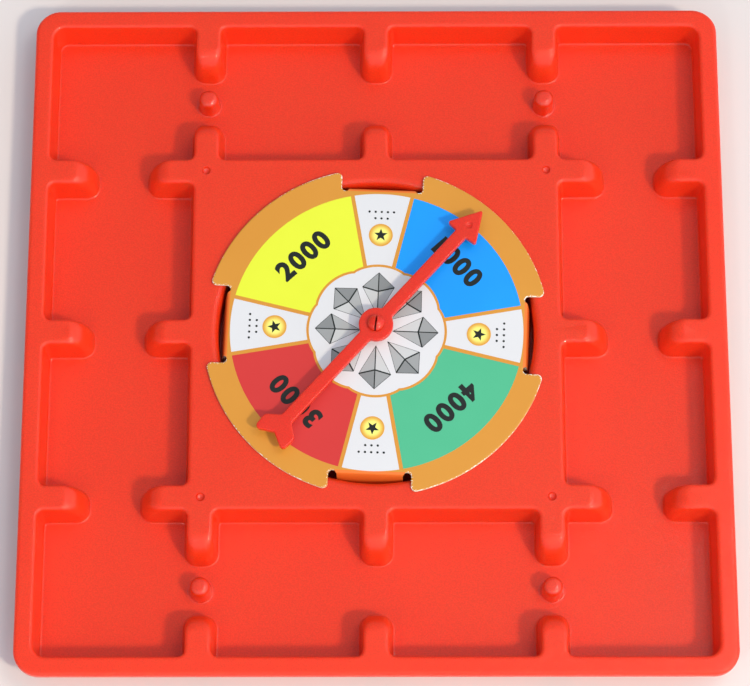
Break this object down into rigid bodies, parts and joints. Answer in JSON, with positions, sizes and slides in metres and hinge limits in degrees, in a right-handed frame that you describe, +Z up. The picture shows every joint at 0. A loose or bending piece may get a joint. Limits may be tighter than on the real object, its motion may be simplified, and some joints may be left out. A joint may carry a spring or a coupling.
{
  "type": "game spinner",
  "caption": "Square moulded game tray with a raised platform that carries a printed card disc with folded flaps and a pointer arrow turning on a split pin.",
  "frame": {"origin": "middle of the tray's footprint, on the surface it rests on", "axes": "+Z up along the arrow's pivot, +X to the tray's right side, +Y to its far side"},
  "size_m": [0.25, 0.25, 0.024],
  "materials": {
    "tray_plastic": "satin red moulded plastic",
    "printed_board": "printed board with a satin varnish",
    "arrow_plastic": "satin red moulded plastic"
  },
  "bodies": {
    "tray": {"tray": "tray_plastic"},
    "card": {"spinner_card": "printed_board", "pivot_pin": "arrow_plastic", "spacer": "arrow_plastic"},
    "arrow": {"arrow": "arrow_plastic"}
  },
  "joints": [
    {"name": "card_lift", "type": "slide", "parent": "tray", "child": "card", "axis": [0, 0, 1], "range_m": [0, 0.03]},
    {"name": "arrow_spin", "type": "hinge", "parent": "card", "child": "arrow", "pos_m": [0, 0, 0.0187], "axis": [0, 0, 1], "continuous": true}
  ]
}
